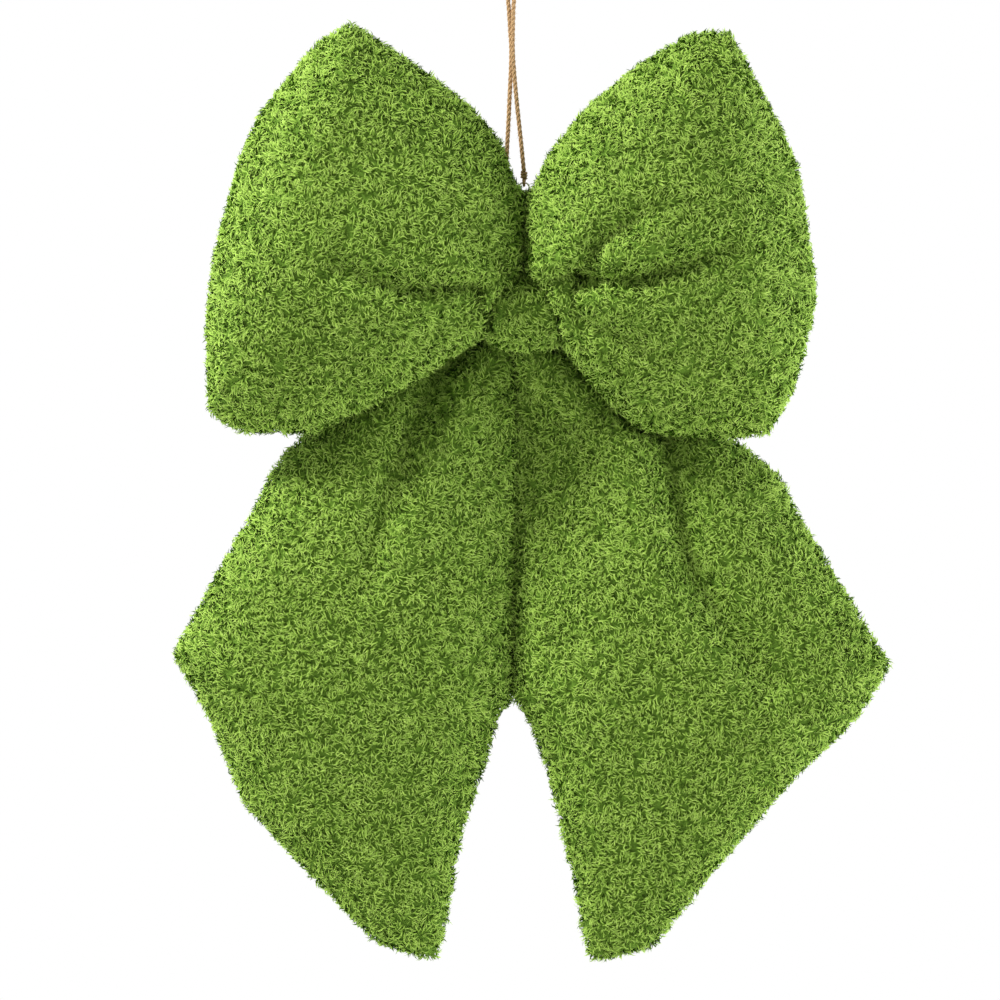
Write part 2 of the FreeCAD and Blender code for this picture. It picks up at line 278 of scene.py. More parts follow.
def linked(name, mesh):
    o = bpy.data.objects.new(name, mesh)
    scene.collection.objects.link(o)
    return o


def smoothShade(o):
    o.data.polygons.foreach_set("use_smooth", np.ones(len(o.data.polygons), bool))


def paint(o, finish):
    o.data.materials.clear()
    o.data.materials.append(finishes[finish])


def skinOf(name, nodeNames):                       # the CAD solids' triangles as one clean mesh
    copies = [linked(name, nodes[n].data.copy()) for n in nodeNames]
    selectOnly(*copies)
    if len(copies) > 1:
        bpy.ops.object.join()
    o = copies[0]
    bpy.ops.object.mode_set(mode="EDIT")
    bpy.ops.mesh.select_all(action="SELECT")
    bpy.ops.mesh.remove_doubles(threshold=0.01 * mm)
    bpy.ops.object.mode_set(mode="OBJECT")
    o.name = name
    return o


def largestPartOnly(o):                            # drops any closed pocket that remeshing leaves inside
    count = len(o.data.vertices)
    label = np.arange(count)
    edges = np.empty(len(o.data.edges) * 2, int)
    o.data.edges.foreach_get("vertices", edges)
    edges = edges.reshape(-1, 2)
    while True:
        low = np.minimum(label[edges[:, 0]], label[edges[:, 1]])
        before = label.copy()
        np.minimum.at(label, edges[:, 0], low)
        np.minimum.at(label, edges[:, 1], low)
        label = label[label]
        if (label == before).all():
            break
    names, sizes = np.unique(label, return_counts=True)
    if len(names) == 1:
        return
    extents = [np.ptp(getPoints(o)[label == n], axis=0).sum() for n in names]
    keep = names[int(np.argmax(extents))]
    selectOnly(o)
    bpy.ops.object.mode_set(mode="EDIT")
    bpy.ops.mesh.select_mode(type="VERT")
    bpy.ops.object.mode_set(mode="OBJECT")
    for group in (o.data.edges, o.data.polygons):
        group.foreach_set("select", np.zeros(len(group), bool))
    o.data.vertices.foreach_set("select", label != keep)
    bpy.ops.object.mode_set(mode="EDIT")
    bpy.ops.mesh.delete(type="VERT")
    bpy.ops.object.mode_set(mode="OBJECT")


# padded cloth
# each fold: a line of (x, z) in mm across the face, how deep it is at its two ends, how wide, and what its
# sides rise by; "left" and "right" are as one walks along the line
folds = {
    "loopLeft": {"front": [
        {"line": [(-18, -105), (-40, -95), (-70, -100)], "deep": (2.5, 1), "wide": 16, "rise": (0, 0)},
        {"line": [(-9, -158), (-19, -155), (-35, -156), (-51, -157), (-80, -147)],
         "deep": (15, 5), "wide": 6, "rise": (4, 4)},
        {"line": [(-11, -164), (-30, -170), (-52, -180)], "deep": (9, 1), "wide": 6, "rise": (2.5, 1.5)},
        {"line": [(-5, -147), (-16, -137), (-26, -120)], "deep": (8, 1), "wide": 6, "rise": (2.0, 1.5)}],
        "back": [
        {"line": [(-8, -158), (-30, -152), (-62, -138)], "deep": (7, 2), "wide": 7, "rise": (1.5, 1.5)},
        {"line": [(-9, -166), (-28, -176), (-52, -186)], "deep": (5, 1), "wide": 7, "rise": (1.5, 1.5)}]},
    "loopRight": {"front": [
        {"line": [(22, -156), (30, -154.5), (41, -154), (59, -152), (82, -143.5), (98, -137)],
         "deep": (15, 4), "wide": 6, "rise": (4, 3)},
        {"line": [(24, -154), (33, -148), (40, -138), (52.5, -128), (62, -121)],
         "deep": (13, 3), "wide": 6, "rise": (3.5, 2.5)},
        {"line": [(23, -163), (36, -171), (50, -178), (68, -188)],
         "deep": (11, 2), "wide": 6, "rise": (2.5, 1.5)}],
        "back": [
        {"line": [(21, -158), (44, -151), (74, -138)], "deep": (7, 2), "wide": 7, "rise": (1.5, 1.5)},
        {"line": [(22, -166), (42, -177), (64, -188)], "deep": (5, 1), "wide": 7, "rise": (1.5, 1.5)}]},
    "tailLeft": {"front": [
        {"line": [(-22, -186), (-31, -200), (-39, -213), (-49, -233), (-58, -260), (-66, -290)],
         "deep": (13, 3), "wide": 8, "rise": (4.5, 2)},
        {"line": [(-6, -190), (-14, -215), (-22, -250), (-26, -285)],
         "deep": (2, 1), "wide": 9, "rise": (1.5, 0)}],
        "back": [
        {"line": [(-20, -190), (-40, -225), (-62, -275)], "deep": (7, 2), "wide": 10, "rise": (2.5, 1.5)}]},
    "tailRight": {"front": [
        {"line": [(9, -205), (15, -250), (24, -330)], "deep": (7, 4), "wide": 16, "rise": (0, 0)},
        {"line": [(26, -180), (49, -199), (64, -216), (73, -236), (77.5, -256), (81, -279), (91, -299),
                  (107, -322), (118, -338)], "deep": (17, 7), "wide": 9, "rise": (1, 8)}],
        "back": [
        {"line": [(18, -190), (40, -230), (66, -285)], "deep": (7, 2), "wide": 10, "rise": (1.5, 2.5)}]},
    "knot": {"front": [
        {"line": [(-10, -166), (-3, -165)], "deep": (2.5, 0.5), "wide": 4, "rise": (0.5, 0.5)},
        {"line": [(23, -160), (15, -163)], "deep": (2.5, 0.5), "wide": 4, "rise": (0.5, 0.5)}], "back": []},
}
# a fold goes no further than a share of the stuffing behind it, and fades where the loops bulge over
# the knot
foldLimit = {"skin": 3.0, "share": 0.42, "near": 13.0, "far": 22.0}
foldForm = {"facingGain": 2.2, "ridgeOff": 1.9, "ridgeWide": 1.4}   # the ridges' places in widths of the fold


# signed distance of each point from a line of (x, z), and the share of the line that it has walked
def alongLine(points, line):
    best = np.full(len(points), 1e9)
    signed = np.zeros(len(points))
    share = np.zeros(len(points))
    stops = np.array(line, float) * mm
    lengths = np.linalg.norm(np.diff(stops, axis=0), axis=1)
    walked = np.concatenate([[0], np.cumsum(lengths)])
    for i, (a, b) in enumerate(zip(stops, stops[1:])):
        d = (b - a) / lengths[i]
        t = np.clip((points - a) @ d, 0, lengths[i])
        off = points - (a + t[:, None] * d)
        far = np.linalg.norm(off, axis=1)
        near = far < best
        side = np.sign(off[:, 0] * d[1] - off[:, 1] * d[0])
        best[near], signed[near] = far[near], (far * side)[near]
        share[near] = ((walked[i] + t) / walked[-1])[near]
    return signed, share


def smoothStep(values, low, high):
    t = np.clip((values - low) / (high - low), 0, 1)
    return t * t * (3 - 2 * t)


def thicknessBehind(o, points, outward):           # how far it is through the stuffing to the other face
    tree = BVHTree.FromPolygons([v.co for v in o.data.vertices], [p.vertices for p in o.data.polygons])
    hits = [tree.ray_cast(Vector(point - way * 0.2 * mm), Vector(-way))[3]
            for point, way in zip(points, outward)]
    return np.array([0.0 if hit is None else hit for hit in hits])


def addFolds(o, kind, seam):
    points, normals = getPoints(o), getNormals(o)
    facing = normals @ np.array(seam["normal"])
    move = np.zeros(len(points))
    for face, sign in (("front", -1), ("back", 1)):
        weight = np.clip(facing * sign * foldForm["facingGain"], 0, 1)
        for fold in folds[kind][face]:
            off, share = alongLine(points[:, [0, 2]], fold["line"])
            wide = fold["wide"] * mm
            deep = (fold["deep"][0] * (1 - share) + fold["deep"][1] * share) * mm
            fade = deep / (fold["deep"][0] * mm)
            profile = -deep * np.exp(-(off / wide) ** 2)
            for side, rise in zip((1, -1), fold["rise"]):
                ridge = (off + side * foldForm["ridgeOff"] * wide) / (foldForm["ridgeWide"] * wide)
                profile += rise * mm * fade * np.exp(-ridge ** 2)
            move += weight * profile
    outward = np.sign(facing)[:, None] * np.array(seam["normal"])
    room = np.maximum(thicknessBehind(o, points, outward) - foldLimit["skin"] * mm, 0) * foldLimit["share"]
    move = np.maximum(move, -room)
    if kind != "knot":
        fromKnot = np.hypot(points[:, 0] - knotMiddle.x, points[:, 2] - knotMiddle.z)
        move *= smoothStep(fromKnot, foldLimit["near"] * mm, foldLimit["far"] * mm)
    setPoints(o, points + outward * move[:, None])


# where neighbours press on each other: the plane x (mm) they meet at, how far each moves, over what
# width, and between which heights
contacts = {
    "loopLeft": [{"x": 5.6, "move": 3.4, "over": 9, "low": -152, "high": -114}],
    "loopRight": [{"x": 5.6, "move": -3.4, "over": 9, "low": -152, "high": -114}],
    "tailLeft": [{"x": 0.4, "move": 5.0, "over": 11, "low": -344, "high": -176}],
    "tailRight": [{"x": 0.4, "move": -5.0, "over": 11, "low": -344, "high": -176}],
}
contactEase = 8                                    # over what height a contact begins and ends
# the tails' tops rise a little behind the loops, but not at their necks
tuck = {"rise": 6.5, "low": -262, "high": -232, "upGain": 1.5, "neckLow": -186, "neckHigh": -176}


def pressTogether(o, kind):
    points, normals = getPoints(o), getNormals(o)
    x, z = points[:, 0] / mm, points[:, 2] / mm
    for c in contacts[kind]:
        band = smoothStep(z, c["low"] - contactEase, c["low"])
        band *= 1 - smoothStep(z, c["high"], c["high"] + contactEase)
        points[:, 0] += c["move"] * mm * band * np.exp(-((x - c["x"]) / c["over"]) ** 2)
    if kind.startswith("tail"):
        lift = tuck["rise"] * mm * smoothStep(z, tuck["low"], tuck["high"])
        lift *= np.clip(normals[:, 2] * tuck["upGain"], 0, 1)
        points[:, 2] += lift * (1 - smoothStep(z, tuck["neckLow"], tuck["neckHigh"]))
    setPoints(o, points)


def puffUp(o, settings):                           # air pressure rounds the cloth; no point goes past the cap
    start = getPoints(o)
    modifier = o.modifiers.new("Cloth", "CLOTH")
    cloth = modifier.settings
    cloth.use_pressure = True
    cloth.uniform_pressure_force = settings["pressure"]
    cloth.effector_weights.gravity = 0
    cloth.tension_stiffness = cloth.compression_stiffness = settings["stiffness"]
    cloth.bending_stiffness = settings["bending"]
    for frameNumber in range(1, settings["frames"] + 1):
        scene.frame_set(frameNumber)
    puffed = o.evaluated_get(bpy.context.evaluated_depsgraph_get())
    moved = getPoints(puffed) - start
    o.modifiers.remove(modifier)
    scene.frame_set(1)
    inward = (moved * getNormals(o)).sum(1, keepdims=True) < 0
    moved = moved * np.where(inward, settings["inwardShare"], 1.0)
    far = np.linalg.norm(moved, axis=1, keepdims=True)
    cap = settings["cap"] * mm
    setPoints(o, start + moved * np.minimum(1, cap / np.maximum(far, 1e-9)))
    print("   puffed by %.1f mm at most, %.1f on average" % (far.max() / mm, far.mean() / mm))


def halfOf(o, name, seam, front):                  # the cloth on one side of the seam, as an open sheet
    half = linked(name, o.data.copy())
    selectOnly(half)
    bpy.ops.object.mode_set(mode="EDIT")
    bpy.ops.mesh.select_all(action="SELECT")
    bpy.ops.mesh.bisect(plane_co=seam["point"], plane_no=seam["normal"], clear_outer=front,
                        clear_inner=not front)
    bpy.ops.object.mode_set(mode="OBJECT")
    return half


# pile
# lengths in mm, angles in degrees; a fibre turns by "bends" at each of its joints, and "profile" is its
# width there
pile = {"perSquareMm": 1.0, "length": 4.8, "width": 0.70, "tuftMm": 3.6, "shades": 20, "seed": 7,
        "bends": (20, 38), "profile": (0.85, 1.0, 0.75), "formShare": 0.78, "tuftHeights": (0.82, 1.12),
        "heights": (0.78, 1.12), "widths": (0.75, 1.2), "tilts": (5, 44), "ownLean": 0.6,
        "curlier": (1.0, 1.35), "curlTwist": 0.55, "turnNoise": 0.7, "turnUp": 0.9, "rooted": 0.3,
        "tuftShade": 0.20, "ownShade": 0.14, "columnShare": 0.32}


def turned(vectors, axes, angles):                 # each vector turned about its own unit axis
    c, s = np.cos(angles)[:, None], np.sin(angles)[:, None]
    dots = (vectors * axes).sum(1, keepdims=True)
    return vectors * c + np.cross(axes, vectors) * s + axes * dots * (1 - c)


def unit(vectors):
    return vectors / np.maximum(np.linalg.norm(vectors, axis=1, keepdims=True), 1e-12)


def growPile(sheet, name, number):
    rng = np.random.default_rng(pile["seed"] + number)
    sheet.data.calc_loop_triangles()
    triangles = np.empty(len(sheet.data.loop_triangles) * 3, int)
    sheet.data.loop_triangles.foreach_get("vertices", triangles)
    triangles = triangles.reshape(-1, 3)
    points, normals = getPoints(sheet), getNormals(sheet)
    a, b, c = (points[triangles[:, k]] for k in range(3))
    areas = np.linalg.norm(np.cross(b - a, c - a), axis=1) / 2
    count = int(areas.sum() / mm ** 2 * pile["perSquareMm"])
    chosen = rng.choice(len(triangles), count, p=areas / areas.sum())
    u, v = rng.random(count), rng.random(count)
    flip = u + v > 1
    u[flip], v[flip] = 1 - u[flip], 1 - v[flip]
    shares = np.stack([1 - u - v, u, v], axis=1)
    spots = (points[triangles[chosen]] * shares[:, :, None]).sum(1)
    ups = unit((normals[triangles[chosen]] * shares[:, :, None]).sum(1))

    # tufts: fibres near each other lean and curl together
    tuftCount = max(1, int(areas.sum() / (pile["tuftMm"] * mm) ** 2))
    centres = spots[rng.choice(count, tuftCount, replace=False)]
    tree = KDTree(tuftCount)
    for i, centre in enumerate(centres):
        tree.insert(centre, i)
    tree.balance()
    tuft = np.array([tree.find(spot)[1] for spot in spots])
    tuftLean = unit(rng.normal(size=(tuftCount, 3)))[tuft]
    tuftShade = rng.normal(size=tuftCount)[tuft]
    tuftTall = rng.uniform(*pile["tuftHeights"], tuftCount)[tuft]

    lean = tuftLean + rng.normal(scale=pile["ownLean"], size=(count, 3))
    lean = unit(lean - ups * (lean * ups).sum(1, keepdims=True))
    tilt = np.radians(rng.uniform(*pile["tilts"], count))[:, None]
    heading = unit(ups * np.cos(tilt) + lean * np.sin(tilt))
    bend = np.radians(rng.uniform(*pile["bends"], count)) * rng.choice(pile["curlier"], count)
    bendAxis = unit(np.cross(ups, lean) + ups * rng.normal(scale=pile["curlTwist"], size=(count, 1)))
    step = pile["length"] * mm * tuftTall * rng.uniform(*pile["heights"], count) / len(pile["profile"])
    turn = rng.normal(size=(count, 3)) * pile["turnNoise"] + ups * pile["turnUp"]
    across = unit(np.cross(heading, turn))
    wide = pile["width"] * mm / 2 * rng.uniform(*pile["widths"], count)
    facing = np.cross(across, turned(heading, bendAxis, bend * 1.5))
    across *= np.where((facing * ups).sum(1, keepdims=True) < 0, -1.0, 1.0)

    rows = []
    place = spots - ups * pile["rooted"] * mm
    for share in pile["profile"]:
        half = (wide * share)[:, None]
        rows += [place - across * half, place + across * half]
        place = place + heading * step[:, None]
        heading = turned(heading, bendAxis, bend)
        across = unit(across - heading * (across * heading).sum(1, keepdims=True))
    rows.append(place)
    verts = np.stack(rows, axis=1).reshape(-1, 3)

    faces = np.array([0, 1, 3, 2, 2, 3, 5, 4, 4, 5, 6])
    loops = (np.arange(count)[:, None] * 7 + faces).ravel()
    starts = (np.arange(count)[:, None] * 11 + np.array([0, 4, 8])).ravel()
    mesh = bpy.data.meshes.new(name)
    mesh.vertices.add(len(verts))
    mesh.vertices.foreach_set("co", verts.ravel())
    mesh.loops.add(len(loops))
    mesh.loops.foreach_set("vertex_index", loops)
    mesh.polygons.add(len(starts))
    mesh.polygons.foreach_set("loop_start", starts)
    mesh.update(calc_edges=True)

    # the map: the fibre's random tint across, root to tip up; the root to tip coordinate carries the painted
    # shade at the roots and the painted highlight at the tips
    shade = 0.5 + pile["tuftShade"] * tuftShade + rng.normal(scale=pile["ownShade"], size=count)
    shade = np.clip(shade, 0, 0.999)
    column = (np.floor(shade * pile["shades"]) + 0.5) / pile["shades"]
    halfColumn = pile["columnShare"] / pile["shades"]
    sides = np.array([-1, 1, -1, 1, -1, 1, 0]) * halfColumn
    heights = np.array([0.02, 0.02, 0.35, 0.35, 0.68, 0.68, 0.98])
    mapAcross = (column[:, None] + sides)[:, faces].ravel()
    mapUp = np.broadcast_to(heights, (count, 7))[:, faces].ravel()
    mesh.uv_layers.new(name="OFBake").data.foreach_set("uv", np.stack([mapAcross, mapUp], axis=1).ravel())
    mesh.polygons.foreach_set("use_smooth", np.ones(len(starts), bool))

    # the pile catches light by the cloth's form as well as its own
    own = getValues(mesh, "normal") * (1 - pile["formShare"])
    mesh.normals_split_custom_set_from_vertices(unit(own + np.repeat(ups, 7, axis=0) * pile["formShare"]))
    o = linked(name, mesh)
    paint(o, "pile")
    print("   %s: %d fibres, %d triangles" % (name, count, count * 5))
    return o


# the stuffed pillows
pillowSettings = {"voxel": 3.2, "reach": 12.0, "inset": 1.3, "pressure": 4.0, "stiffness": 14.0,
                  "bending": 0.3, "frames": 20, "cap": 2.0, "inwardShare": 0.15, "clothThick": 1.1,
                  "fillingVoxel": 5.0, "fillingInset": 2.0, "groove": 0.6, "grooveWide": 2.2}
pillows = {
    "loopLeft": {"body": "bow", "cad": "loop_left", "seam": bowSeam, "neck": (0, 1)},
    "loopRight": {"body": "bow", "cad": "loop_right", "seam": bowSeam, "neck": (0, -1)},
    "tailLeft": {"body": "tail_left", "cad": "tail_left", "seam": tailSeam, "neck": (2, 1)},
    "tailRight": {"body": "tail_right", "cad": "tail_right", "seam": tailSeam, "neck": (2, 1)},
}
plug = {"rim": 1.5, "share": 0.9, "deep": 4.0}


# a ball in the open neck, which would let the remesh line the pillow's inside too
def closeNeck(o, axis, end):
    along = getPoints(o)[:, axis] * end
    rim = getPoints(o)[along > along.max() - plug["rim"] * mm]
    low, high = rim.min(0), rim.max(0)
    half = (high - low) / 2 * plug["share"]
    half[axis] = plug["deep"] * mm
    bpy.ops.mesh.primitive_uv_sphere_add(segments=24, ring_count=12, radius=1, location=(low + high) / 2,
                                         scale=half)
    ball = bpy.context.object
    bpy.ops.object.transform_apply(location=True, scale=True)
    selectOnly(o, ball)
    bpy.ops.object.join()


# remeshing rounds the edges off, so they are pushed out to the CAD again
def backToSkin(o, target, reach):
    applyModifier(o, "Shrinkwrap", "SHRINKWRAP", target=target, wrap_method="PROJECT",
                  project_limit=reach * mm, use_negative_direction=True, use_positive_direction=True)


def insetBy(o, depth):
    setPoints(o, getPoints(o) - getNormals(o) * depth)


def grooveAt(o, seam):                             # the sewn seam sinks in between the two panels
    s = pillowSettings
    points, normals = getPoints(o), getNormals(o)
    off = (points - np.array(seam["point"])) @ np.array(seam["normal"])
    depth = s["groove"] * mm * np.exp(-(off / (s["grooveWide"] * mm)) ** 2)
    setPoints(o, points - normals * depth[:, None])


def makeFilling(kind, name, cadNode, body, seam, voxel):
    filling = skinOf(name, [cadNode])
    applyModifier(filling, "Remesh", "REMESH", mode="VOXEL", voxel_size=voxel * mm)
    addFolds(filling, kind, seam)
    insetBy(filling, pillowSettings["fillingInset"] * mm)
    applyModifier(filling, "Smooth", "SMOOTH", factor=0.5, iterations=4)
    smoothShade(filling)
    paint(filling, "filling")
    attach(filling, body)
    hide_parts(cadNode)


def dressCloth(cloth, name, cadNode, body, number):
    fibres = growPile(cloth, name + "Pile", number)
    applyModifier(cloth, "Solidify", "SOLIDIFY", thickness=pillowSettings["clothThick"] * mm, offset=-1.0)
    smoothShade(cloth)
    paint(cloth, "backing")
    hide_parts(cadNode)
    for piece in (cloth, fibres):
        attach(piece, body)


def makePillow(kind, number):
    s, own = pillowSettings, pillows[kind]
    panels = [own["cad"] + "_front_panel", own["cad"] + "_back_panel"]
    skin = skinOf(kind, panels + [own["cad"] + "_filling"])
    model = linked(kind + "Model", skin.data.copy())
    closeNeck(skin, *own["neck"])
    applyModifier(skin, "Remesh", "REMESH", mode="VOXEL", voxel_size=s["voxel"] * mm)
    largestPartOnly(skin)
    applyModifier(skin, "Smooth", "SMOOTH", factor=0.5, iterations=1)
    backToSkin(skin, model, s["reach"])
    bpy.data.objects.remove(model)
    insetBy(skin, s["inset"] * mm)
    print("  %s: %d faces" % (kind, len(skin.data.polygons)))
    if slow:
        puffUp(skin, s)
    applyModifier(skin, "Subdivision", "SUBSURF", levels=1, render_levels=1)
    addFolds(skin, kind, own["seam"])
    grooveAt(skin, own["seam"])
    pressTogether(skin, kind)
    makeFilling(kind, kind + "Filling", own["cad"] + "_filling", own["body"], own["seam"],
                s["fillingVoxel"])
    for half, front in (("Front", True), ("Back", False)):
        cloth = halfOf(skin, kind + half, own["seam"], front)
        dressCloth(cloth, kind + half, panels[0 if front else 1], own["body"], number + (0 if front else 1))
    bpy.data.objects.remove(skin)


for i, kind in enumerate(pillows):
    makePillow(kind, 10 * i)
print("pillows made")


# the padded knot
knotSettings = {"voxel": 2.2, "inset": 1.9, "fillingVoxel": 2.5}


def makeKnot():
    s = knotSettings
    cloth = skinOf("knotWrap", ["knot_wrap", "knot_filling"])
    applyModifier(cloth, "Remesh", "REMESH", mode="VOXEL", voxel_size=s["voxel"] * mm)
    largestPartOnly(cloth)
    applyModifier(cloth, "Smooth", "SMOOTH", factor=0.5, iterations=2)
    insetBy(cloth, s["inset"] * mm)
    addFolds(cloth, "knot", bowSeam)
    makeFilling("knot", "knotFilling", "knot_filling", "bow", bowSeam, s["fillingVoxel"])
    dressCloth(cloth, "knotWrap", "knot_wrap", "bow", 50)


makeKnot()
print("knot made")


# twine, threads, rings
# the twine's route in mm, from the left ring's knot over the hook to the right ring's knot
twineRoute = [(-2.3, 0, -101.83), (-1.8, 0.1, -91.1), (-0.9, 0.5, -73.6), (-0.2, 0.9, -58.0),
              (0.3, 1.25, -46.0), (-0.5, 1.0, -34.5), (-1.15, 0.4, -23.0), (-3.0, 0.1, -13.0),
              (-4.6, 0.0, -4.0), (-3.0, 0.0, 1.0), (3.0, 0.0, 1.0), (4.6, 0.0, -4.0),
              (3.0, -0.1, -13.0), (1.15, -0.4, -23.0), (0.9, -1.0, -34.5), (0.7, -1.25, -46.0),
              (1.6, -0.9, -58.0), (2.9, -0.4, -72.2), (4.6, -0.1, -87.4), (6.0, 0, -101.83)]
twine = {"length": 0.212, "diameter": 0.002, "strands": 3, "strandRadius": 0.56, "offset": 0.5, "pitch": 7.5,
         "sides": 10, "hairs": 420, "hairLength": 2.2, "hairReach": 1.0, "hairSeed": 3}


def splinePoints(route):                           # points along the NURBS curve that a route controls
    curve = bpy.data.curves.new("route", "CURVE")
    curve.dimensions = "3D"
    curve.resolution_u = 12
    spline = curve.splines.new("NURBS")
    spline.points.add(len(route) - 1)
    for point, place in zip(spline.points, route):
        point.co = (*(Vector(place) * mm), 1)
    spline.order_u = 3
    spline.use_endpoint_u = True
    o = linked("route", curve)
    mesh = bpy.data.meshes.new_from_object(o)
    found = np.array([v.co for v in mesh.vertices])
    bpy.data.objects.remove(o)
    bpy.data.curves.remove(curve)
    bpy.data.meshes.remove(mesh)
    return found


def evenly(points, step):
    far = np.concatenate([[0], np.cumsum(np.linalg.norm(np.diff(points, axis=0), axis=1))])
    stops = np.linspace(0, far[-1], max(8, int(far[-1] / step)) + 1)
    return np.stack([np.interp(stops, far, points[:, k]) for k in range(3)], axis=1), stops


# two directions square to the line, which turn as little as they can
def carriedFrames(points):
    along = unit(np.gradient(points, axis=0))
    first = np.cross(along[0], (0.3, 0.9, 0.2))
    sideways = [first / np.linalg.norm(first)]
    for direction in along[1:]:
        side = sideways[-1] - direction * (sideways[-1] @ direction)
        sideways.append(side / np.linalg.norm(side))
    sideways = np.array(sideways)
    return along, sideways, np.cross(along, sideways)


def rope(name, line, strands, strandRadius, offset, pitch, finish, sides=8, step=0.7):
    points, far = evenly(line, step * mm)
    along, one, two = carriedFrames(points)
    verts, faces, uvs = [], [], []
    rounds = np.arange(sides) * 2 * math.pi / sides
    for strand in range(strands):
        turn = far / (pitch * mm) * 2 * math.pi + strand * 2 * math.pi / strands
        out = one * np.cos(turn)[:, None] + two * np.sin(turn)[:, None]
        centre = points + out * offset * mm
        ways, a, b = carriedFrames(centre)
        fromEnd = np.minimum(far, far[-1] - far) / (strandRadius * mm)
        ends = np.minimum(1, fromEnd + 0.45)[:, None]   # a strand is thinner at its two ends
        for angle in rounds:
            verts.append(centre + (a * math.cos(angle) + b * math.sin(angle)) * strandRadius * mm * ends)
    count = len(points)
    grid = np.stack(verts, axis=0).reshape(strands, sides, count, 3)
    flat = grid.reshape(-1, 3)

    def index(strand, side, row):
        return (strand * sides + side % sides) * count + row

    for strand in range(strands):
        for side in range(sides):
            for row in range(count - 1):
                faces.append((index(strand, side, row), index(strand, side + 1, row),
                              index(strand, side + 1, row + 1), index(strand, side, row + 1)))
                (u, u2), (v, v2) = (side / sides, (side + 1) / sides), far[row:row + 2] / far[-1]
                uvs += [(u, v), (u2, v), (u2, v2), (u, v2)]
        for row, order in ((0, -1), (count - 1, 1)):
            faces.append([index(strand, side, row) for side in range(sides)][::order])
            uvs += [(0.5, far[row] / far[-1])] * sides
    mesh = bpy.data.meshes.new(name)
    mesh.from_pydata(flat, [], faces)
    mesh.uv_layers.new(name="UVMap").data.foreach_set("uv", np.array(uvs).ravel())
    mesh.update()
    o = linked(name, mesh)
    smoothShade(o)
    paint(o, finish)
    return o, points


# thin fibres that stand off the twine
hairs = {"halfWidth": 0.045, "rooted": 0.85, "along": (0.6, 1.6), "out": 0.6, "lengths": (0.4, 1.2),
         "curl": 0.35}


def strayHairs(name, points, count, length, reach, seed):
    rng = np.random.default_rng(seed)
    along = unit(np.gradient(points, axis=0))
    chosen = rng.integers(2, len(points) - 2, count)
    start, way = points[chosen], along[chosen]
    out = unit(np.cross(way, rng.normal(size=(count, 3))))
    flow = way * rng.choice([-1, 1], count)[:, None]
    heading = unit(flow * rng.uniform(*hairs["along"], (count, 1)) + out * hairs["out"])
    across = unit(np.cross(heading, rng.normal(size=(count, 3))))
    step = length * mm * rng.uniform(*hairs["lengths"], count)[:, None] / 3
    rows, place = [], start + out * reach * mm * hairs["rooted"]
    bendAxis = unit(np.cross(out, flow))
    for _ in range(3):
        rows += [place - across * hairs["halfWidth"] * mm, place + across * hairs["halfWidth"] * mm]
        place = place + heading * step
        heading = turned(heading, bendAxis, rng.normal(scale=hairs["curl"], size=count))
    rows.append(place)
    verts = np.stack(rows, axis=1).reshape(-1, 3)
    faces = []
    for k in range(count):
        base = 7 * k
        faces += [(base, base + 1, base + 3, base + 2), (base + 2, base + 3, base + 5, base + 4),
                  (base + 4, base + 5, base + 6)]
    mesh = bpy.data.meshes.new(name)
    mesh.from_pydata(verts, [], faces)
    o = linked(name, mesh)
    paint(o, "juteHair")
    return o


def circleRoute(middle, radius, turns, rise=0.0, perTurn=8, start=90.0, axis="x"):
    route = []
    for k in range(int(turns * perTurn) + 1):
        angle = math.radians(start + 360.0 * k / perTurn)
        a, b = radius * math.cos(angle), radius * math.sin(angle)
        c = rise * k / (turns * perTurn)
        route.append((middle[0] + c, middle[1] + a, middle[2] + b) if axis == "x"
                     else (middle[0] + a, middle[1] + b, middle[2] + c))
    return route


twineLine = splinePoints(twineRoute)
twinePiece, twinePoints = rope("twineHanger", twineLine, twine["strands"], twine["strandRadius"],
                               twine["offset"], twine["pitch"], "twine", twine["sides"])
twineHairs = strayHairs("twineHairs", twinePoints, twine["hairs"], twine["hairLength"], twine["hairReach"],
                        twine["hairSeed"])
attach(twinePiece, "hanger")
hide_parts("twine_hanger")
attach(twineHairs, "hanger")

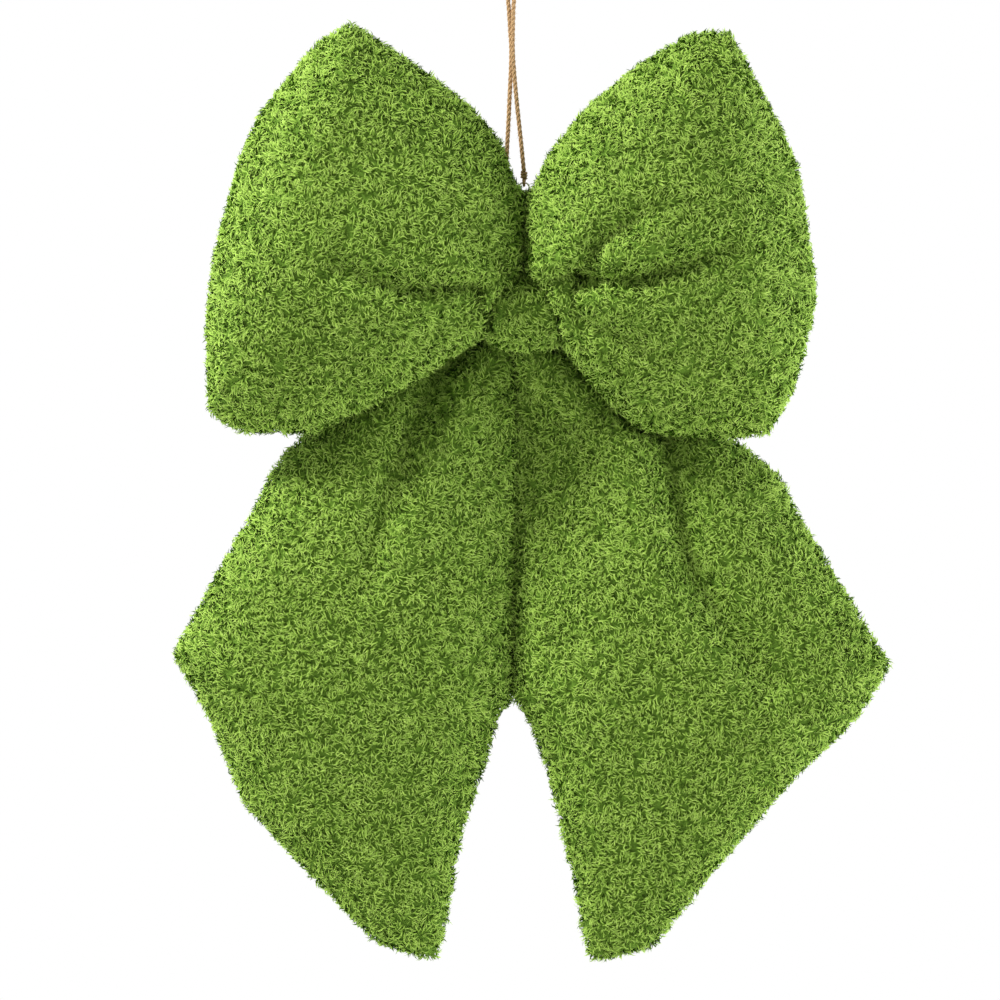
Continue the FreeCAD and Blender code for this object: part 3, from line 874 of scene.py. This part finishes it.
ringPlaces = {"Left": -2.3, "Right": 6.0}
ringTop, ringBottom = -106.65, -111.35             # heights of the rings' top and bottom wires
eye = {"radius": 1.55, "aside": 0.3, "rise": 0.6, "coil": 1.15, "coilAbove": 0.4, "coilTurns": 2.5,
       "coilRise": 3.0, "strandRadius": 0.36, "offset": 0.3, "pitch": 4.0}
sewn = {"radius": 1.1, "strandRadius": 0.16, "offset": 0.15, "pitch": 1.6}
threadEnds = {"Left": (-2.35, -7.63, -118.99), "Right": (10.45, -9.86, -121.28)}
knotPieces = []
for side, x in ringPlaces.items():
    eyeRoute = circleRoute((x - eye["aside"], 0, ringTop), eye["radius"], 1.0, eye["rise"])
    foot = ringTop + eye["radius"] + eye["coilAbove"]
    coilRoute = circleRoute((x, 0, foot), eye["coil"], eye["coilTurns"], eye["coilRise"], start=0.0, axis="z")
    knotPiece = rope("twineKnot" + side, splinePoints(eyeRoute + coilRoute), 3, eye["strandRadius"],
                     eye["offset"], eye["pitch"], "twine", step=0.35)[0]
    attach(knotPiece, "hanger")
    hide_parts("twine_knot_" + side.lower())
    knotPieces.append(knotPiece)

    loopRoute = circleRoute((x, 0, ringBottom), sewn["radius"], 1.0, start=-90.0)
    end = threadEnds[side]
    top = ringBottom - sewn["radius"]
    drop = [(x + (end[0] - x) * t, end[1] * t, top + (end[2] - ringBottom + sewn["radius"]) * t)
            for t in (0.1, 0.4, 0.7, 1.0)]
    threadPiece = rope("ringThread" + side, splinePoints(loopRoute + drop), 3, sewn["strandRadius"],
                       sewn["offset"], sewn["pitch"], "thread", sides=6, step=0.3)[0]
    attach(threadPiece, "bow")
    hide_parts("ring_thread_" + side.lower())

knotPieces + [twineHairs]
print("twine made")

tie = {"radius": 6.0, "turns": 3.5, "rise": 6.0, "strandRadius": 0.5, "offset": 0.45, "pitch": 5.0}
tieRoute = circleRoute((knotMiddle.x / mm - tie["rise"] / 2, -7.48, -165.31), tie["radius"], tie["turns"],
                       tie["rise"])
tiePiece = rope("gatherTie", splinePoints(tieRoute), 3, tie["strandRadius"], tie["offset"], tie["pitch"],
                "thread")[0]
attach(tiePiece, "bow")
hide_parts("gather_tie")

for name in ("ring_left", "ring_right"):
    paint(nodes[name], "ring")
for name in ("tail_stitching", "knot_closing_stitches"):
    paint(nodes[name], "thread")


# floor and light
floorSettings = {"radius": 2.5, "z": -0.80}
lights = {  # place, size, power, colour
    "key": ((-1.8, -1.05, 1.7), 0.7, 108.0, (1.0, 0.99, 0.97)),
    "fill": ((2.3, -0.8, 0.0), 1.2, 34.0, (0.98, 0.99, 1.0)),
    "back": ((0.2, 2.0, 1.6), 1.8, 30.0, (1.0, 1.0, 1.0)),
    "left": ((-2.4, 0.7, -0.3), 1.4, 30.0, (1.0, 1.0, 1.0)),
    "right": ((2.4, 0.7, -0.3), 1.4, 38.0, (1.0, 1.0, 1.0)),
}
worldLight = 0.46                                  # what falls on the bow; the backdrop itself stays white

bpy.ops.object.select_all(action="DESELECT")
bpy.ops.mesh.primitive_circle_add(vertices=128, radius=floorSettings["radius"], fill_type="NGON",
                                  location=(0, 0, floorSettings["z"]))
floor = bpy.context.object
floor.name = "floor"
paint(floor, "floor")


def addLight(name, place, size, power, colour):
    data = bpy.data.lights.new(name, "AREA")
    data.shape = "DISK"
    data.size, data.energy, data.color = size, power, colour
    o = bpy.data.objects.new(name, data)
    o.location = place
    o.rotation_mode = "QUATERNION"
    o.rotation_quaternion = (Vector((0, 0, -0.25)) - Vector(place)).to_track_quat("-Z", "Y")
    scene.collection.objects.link(o)


for name, values in lights.items():
    addLight(name, *values)
world = bpy.data.worlds.new("studio")
world.use_nodes = True
background = world.node_tree.nodes["Background"]
background.inputs["Color"].default_value = (1, 1, 1, 1)
seen = world.node_tree.nodes.new("ShaderNodeLightPath")
strength = world.node_tree.nodes.new("ShaderNodeMapRange")
strength.inputs["To Min"].default_value, strength.inputs["To Max"].default_value = worldLight, 1.0
world.node_tree.links.new(seen.outputs["Is Camera Ray"], strength.inputs["Value"])
world.node_tree.links.new(strength.outputs["Result"], background.inputs["Strength"])
scene.world = world
scene.view_settings.view_transform = "Standard"
print("studio made")
